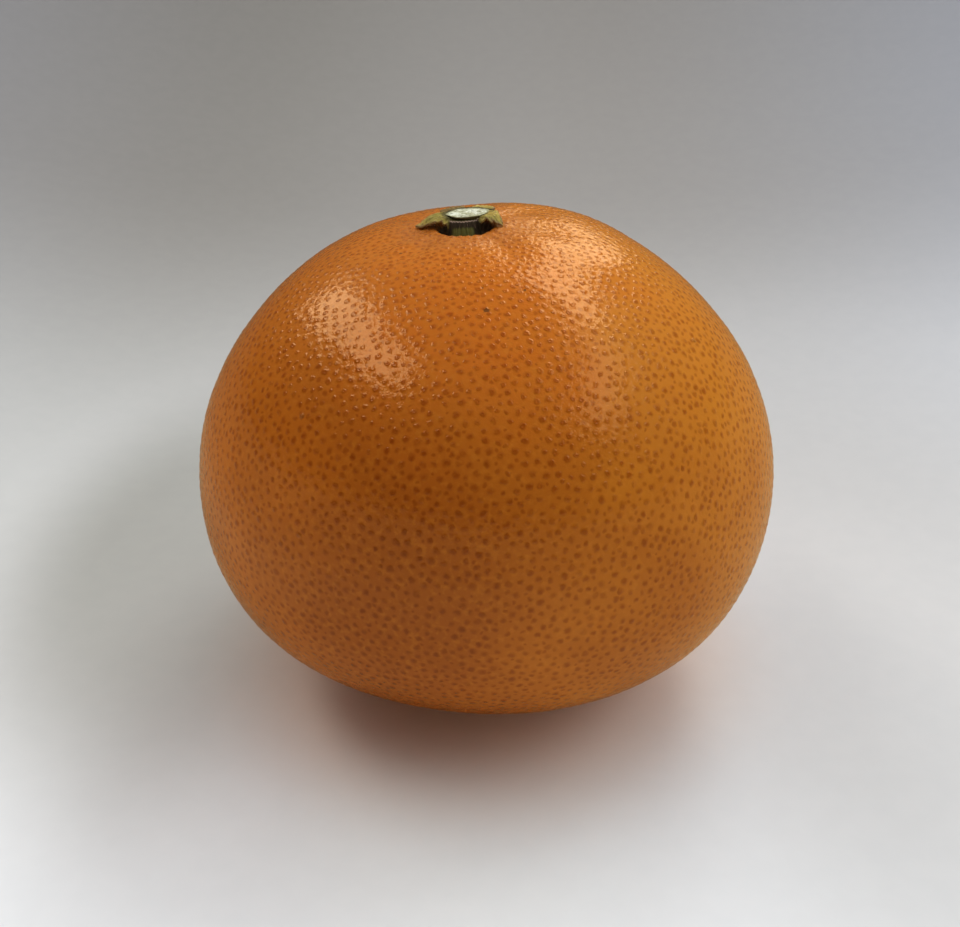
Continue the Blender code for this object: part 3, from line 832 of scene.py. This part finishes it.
# How the light on the paper is dimmed or tinted in places, painted into its colour: painted shade at the far
# left, painted shadows of the fruit beside it on its left and on its right, painted light in front of it and
# far out on each side, a painted warm bounce of the fruit's orange close to it, and the paper's own mottling
FAR_LEFT_PAINTED_SHADE = (0.74, 0.735, 0.71)
LEFT_PAINTED_SHADOW = (0.60, 0.60, 0.57)
RIGHT_PAINTED_SHADOW = (0.73, 0.72, 0.71)
FRONT_PAINTED_LIGHT = (1.08, 1.09, 1.07)
ASIDE_PAINTED_LIGHTS = ((0.02, 0.2, (1.28, 1.44, 1.75)), (-0.05, -0.2, (1.1, 1.14, 1.32)))
CLOSE_PAINTED_BOUNCE = (1.0, 0.74, 0.56)
MOTTLED_SHADE = (0.97, 0.97, 0.97)
# How the gloss takes in the paper, far from the fruit and close to it, and how soft light takes it in:
# painted tones of its reflection in the peel and of its bounced light
GLOSS_SHADES = ((0.5, 0.29, 0.11), (0.72, 0.5, 0.26))
SOFT_SHADE = (0.95, 0.88, 0.74)


def paper_material():
    n = Nodes("pale grey paper")
    here = n.place()
    mottled = n.mottling(here, 300, 3, low=0.3, high=0.7)
    where = n.add("ShaderNodeSeparateXYZ", {"Vector": here}).outputs
    from_middle = n.how_far(here, (0.0, 0.0, 0.0))
    # Darker towards the back: painted shade
    colour = n.mix(n.between(where["Y"], -0.02, 0.17), PAPER_FRONT, PAPER_BACK)
    # Painted shade at the far left, and painted shadows of the fruit beside it on its left and right
    far_left = n.math("MULTIPLY", n.between(where["X"], 0.02, -0.09), n.between(where["Y"], -0.04, 0.03))
    far_left = n.math("MULTIPLY", far_left, n.between(where["Y"], 0.9, 0.25, 0.6, 1.0))
    colour = n.shaded(far_left, colour, FAR_LEFT_PAINTED_SHADE)
    squeezed = n.add("ShaderNodeVectorMath", operation="MULTIPLY")
    n.put(squeezed.inputs[0], here)
    n.put(squeezed.inputs[1], (1.0, 0.5, 1.0))
    left = n.between(n.how_far(squeezed.outputs["Vector"], (-0.046, 0.01, 0.0)), 0.034, 0.012)
    colour = n.shaded(left, colour, LEFT_PAINTED_SHADOW)
    right = n.between(n.how_far(here, (0.048, 0.005, 0.0)), 0.11, 0.03)
    right = n.math("MULTIPLY", right, n.between(where["X"], 0.010, 0.048))
    colour = n.shaded(right, colour, RIGHT_PAINTED_SHADOW)
    # Painted light in front of the fruit and far out on each side, and a painted warm bounce of its orange
    # close to it
    front = n.between(n.how_far(here, (0.0, -0.034, 0.0)), 0.03, 0.005)
    colour = n.shaded(front, colour, FRONT_PAINTED_LIGHT)
    for start, end, gain in ASIDE_PAINTED_LIGHTS:
        aside = n.math("MULTIPLY", n.between(where["X"], start, end), n.between(where["Y"], -0.03, 0.2))
        colour = n.shaded(aside, colour, gain)
    colour = n.shaded(n.between(from_middle, 0.042, 0.012), colour, CLOSE_PAINTED_BOUNCE)
    colour = n.shaded(n.math("MULTIPLY", mottled["Mask"], 0.5), colour, MOTTLED_SHADE)
    # Painted tones for the paper's reflection in the peel's gloss and for the light it bounces
    ray = n.add("ShaderNodeLightPath").outputs
    in_gloss = n.mix(n.between(from_middle, 0.16, 0.05), *GLOSS_SHADES)
    colour = n.shaded(ray["Is Glossy Ray"], colour, in_gloss)
    colour = n.shaded(ray["Is Diffuse Ray"], colour, SOFT_SHADE)
    roughness = n.between(mottled["Noise"], 0.3, 0.7, 0.8, 0.85)
    return n.finish(colour, roughness, n.math("MULTIPLY", mottled["Noise"], 0.01 * MM))


paper.data.materials.append(paper_material())

# The light. Two tall soft windows behind the fruit, one on each side of it, a dim one over its right
# front and the open sky on the right, in a dim pale room.
fruit_centre = Vector((0.0, 0.0, -FLOOR))
LIGHT_DISTANCE = 3.0
MIRRORED_DISTANCE = 2.9
# The colour that the windows take in the peel's gloss, whose wax is a little orange
MIRRORED_TONE = (1.0, 0.71, 0.40)
# The room is brightest above and behind the fruit, and darkest in front: how far each way lies towards
# the brightest, and the strength there
BRIGHTEST_WAY = direction(85, 62)
ROOM_GLOW = (0.25, 0.97, 0.05, 1.3)
# The room's colour, and the one that it takes in the gloss
ROOM_TONES = ((0.93, 0.96, 1.0, 1.0), (0.40, 0.23, 0.09, 1.0))
# Azimuth and elevation of the two ends and width, in degrees, brightness, colour, brightness in the gloss
WINDOWS = {
    "left window": ((131, 30), (207, 61), 14, 2.4, (1.0, 0.93, 0.86), 4.2),
    "right window, low part": ((74, 18), (70, 39), 16, 6.8, (0.88, 0.96, 1.0), 3.2),
    "right window, high part": ((74, 45), (28, 55.5), 13.5, 5.2, (0.88, 0.96, 1.0), 5.0),
    "right front window": ((20, 54), (-35, 40), 15, 0.0, (1.0, 1.0, 1.0), 2.0),
    "open sky": ((45, 12), (-25, 32), 42, 2.3, (0.80, 0.92, 1.0), 0.0),
}


def add_window(name, first, last, width, brightness, tone, distance):
    """A soft lamp as long as the way between two directions, aimed at the fruit."""
    away = (first + last).normalized()
    along = (last - first).normalized()
    light = bpy.data.lights.new(name, "AREA")
    light.shape = "RECTANGLE"
    light.size = 2 * distance * math.tan(math.radians(width / 2))
    light.size_y = 2 * distance * math.tan(first.angle(last) / 2)
    light.energy = brightness * math.pi * light.size * light.size_y
    light.color = tone
    lamp = bpy.data.objects.new(name, light)
    lamp.matrix_world = Matrix((along.cross(away), along, away)).transposed().to_4x4()
    lamp.location = fruit_centre + away * distance
    lamp.visible_camera = False
    bpy.context.scene.collection.objects.link(lamp)
    return lamp


for name, (start, end, width, brightness, tone, shine) in WINDOWS.items():
    first, last = Vector(direction(*start)), Vector(direction(*end))
    if brightness:
        lamp = add_window(name, first, last, width, brightness, tone, LIGHT_DISTANCE)
        lamp.visible_glossy = False
    if shine:
        mirrored = f"{name}, mirrored"
        lamp = add_window(mirrored, first, last, width, shine, MIRRORED_TONE, MIRRORED_DISTANCE)
        lamp.visible_diffuse = False
room = bpy.data.worlds.new("room")
room.use_nodes = True
air = room.node_tree
background = air.nodes["Background"]
toward = air.nodes.new("ShaderNodeTexCoord")
lies_towards = air.nodes.new("ShaderNodeVectorMath")
lies_towards.operation = "DOT_PRODUCT"
lies_towards.inputs[1].default_value = BRIGHTEST_WAY
glow = air.nodes.new("ShaderNodeMapRange")
glow.interpolation_type = "SMOOTHSTEP"
for socket, value in zip(("From Min", "From Max", "To Min", "To Max"), ROOM_GLOW):
    glow.inputs[socket].default_value = value
air.links.new(toward.outputs["Generated"], lies_towards.inputs[0])
air.links.new(lies_towards.outputs["Value"], glow.inputs["Value"])
air.links.new(glow.outputs["Result"], background.inputs["Strength"])
ray = air.nodes.new("ShaderNodeLightPath")
sky_tone = air.nodes.new("ShaderNodeMix")
sky_tone.data_type = "RGBA"
sky_tone.inputs[6].default_value, sky_tone.inputs[7].default_value = ROOM_TONES
air.links.new(ray.outputs["Is Glossy Ray"], sky_tone.inputs[0])
air.links.new(sky_tone.outputs[2], background.inputs["Color"])
bpy.context.scene.world = room
bpy.context.scene.view_settings.view_transform = "Standard"

# The camera, a little above the fruit and in front of it, aimed so that the fruit sits in the frame
# as photographed.
CAMERA_DISTANCE = 0.1378
CAMERA_ELEVATION = math.radians(27)
IMAGE_WIDTH, IMAGE_HEIGHT = 960, 927
FOCAL_PIXELS = 1100.0
SENSOR_WIDTH = 36.0
FRUIT_CENTRE_PIXEL = (487.1, 456.7)
camera = bpy.data.cameras.new("camera")
camera.sensor_width = SENSOR_WIDTH
camera.lens = camera.sensor_width * FOCAL_PIXELS / IMAGE_WIDTH
camera.clip_start, camera.clip_end = 0.005, 20.0
back = Vector((0.0, -math.cos(CAMERA_ELEVATION), math.sin(CAMERA_ELEVATION)))
up = Vector((0.0, math.sin(CAMERA_ELEVATION), math.cos(CAMERA_ELEVATION)))
right = Vector((1.0, 0.0, 0.0))
metres_per_pixel = CAMERA_DISTANCE / FOCAL_PIXELS
aim = fruit_centre - right * (FRUIT_CENTRE_PIXEL[0] - IMAGE_WIDTH / 2) * metres_per_pixel
aim -= up * (IMAGE_HEIGHT / 2 - FRUIT_CENTRE_PIXEL[1]) * metres_per_pixel
viewer = bpy.data.objects.new("camera", camera)
viewer.location = fruit_centre + back * CAMERA_DISTANCE
viewer.rotation_euler = (viewer.location - aim).to_track_quat("Z", "Y").to_euler()
bpy.context.scene.collection.objects.link(viewer)
bpy.context.scene.camera = viewer
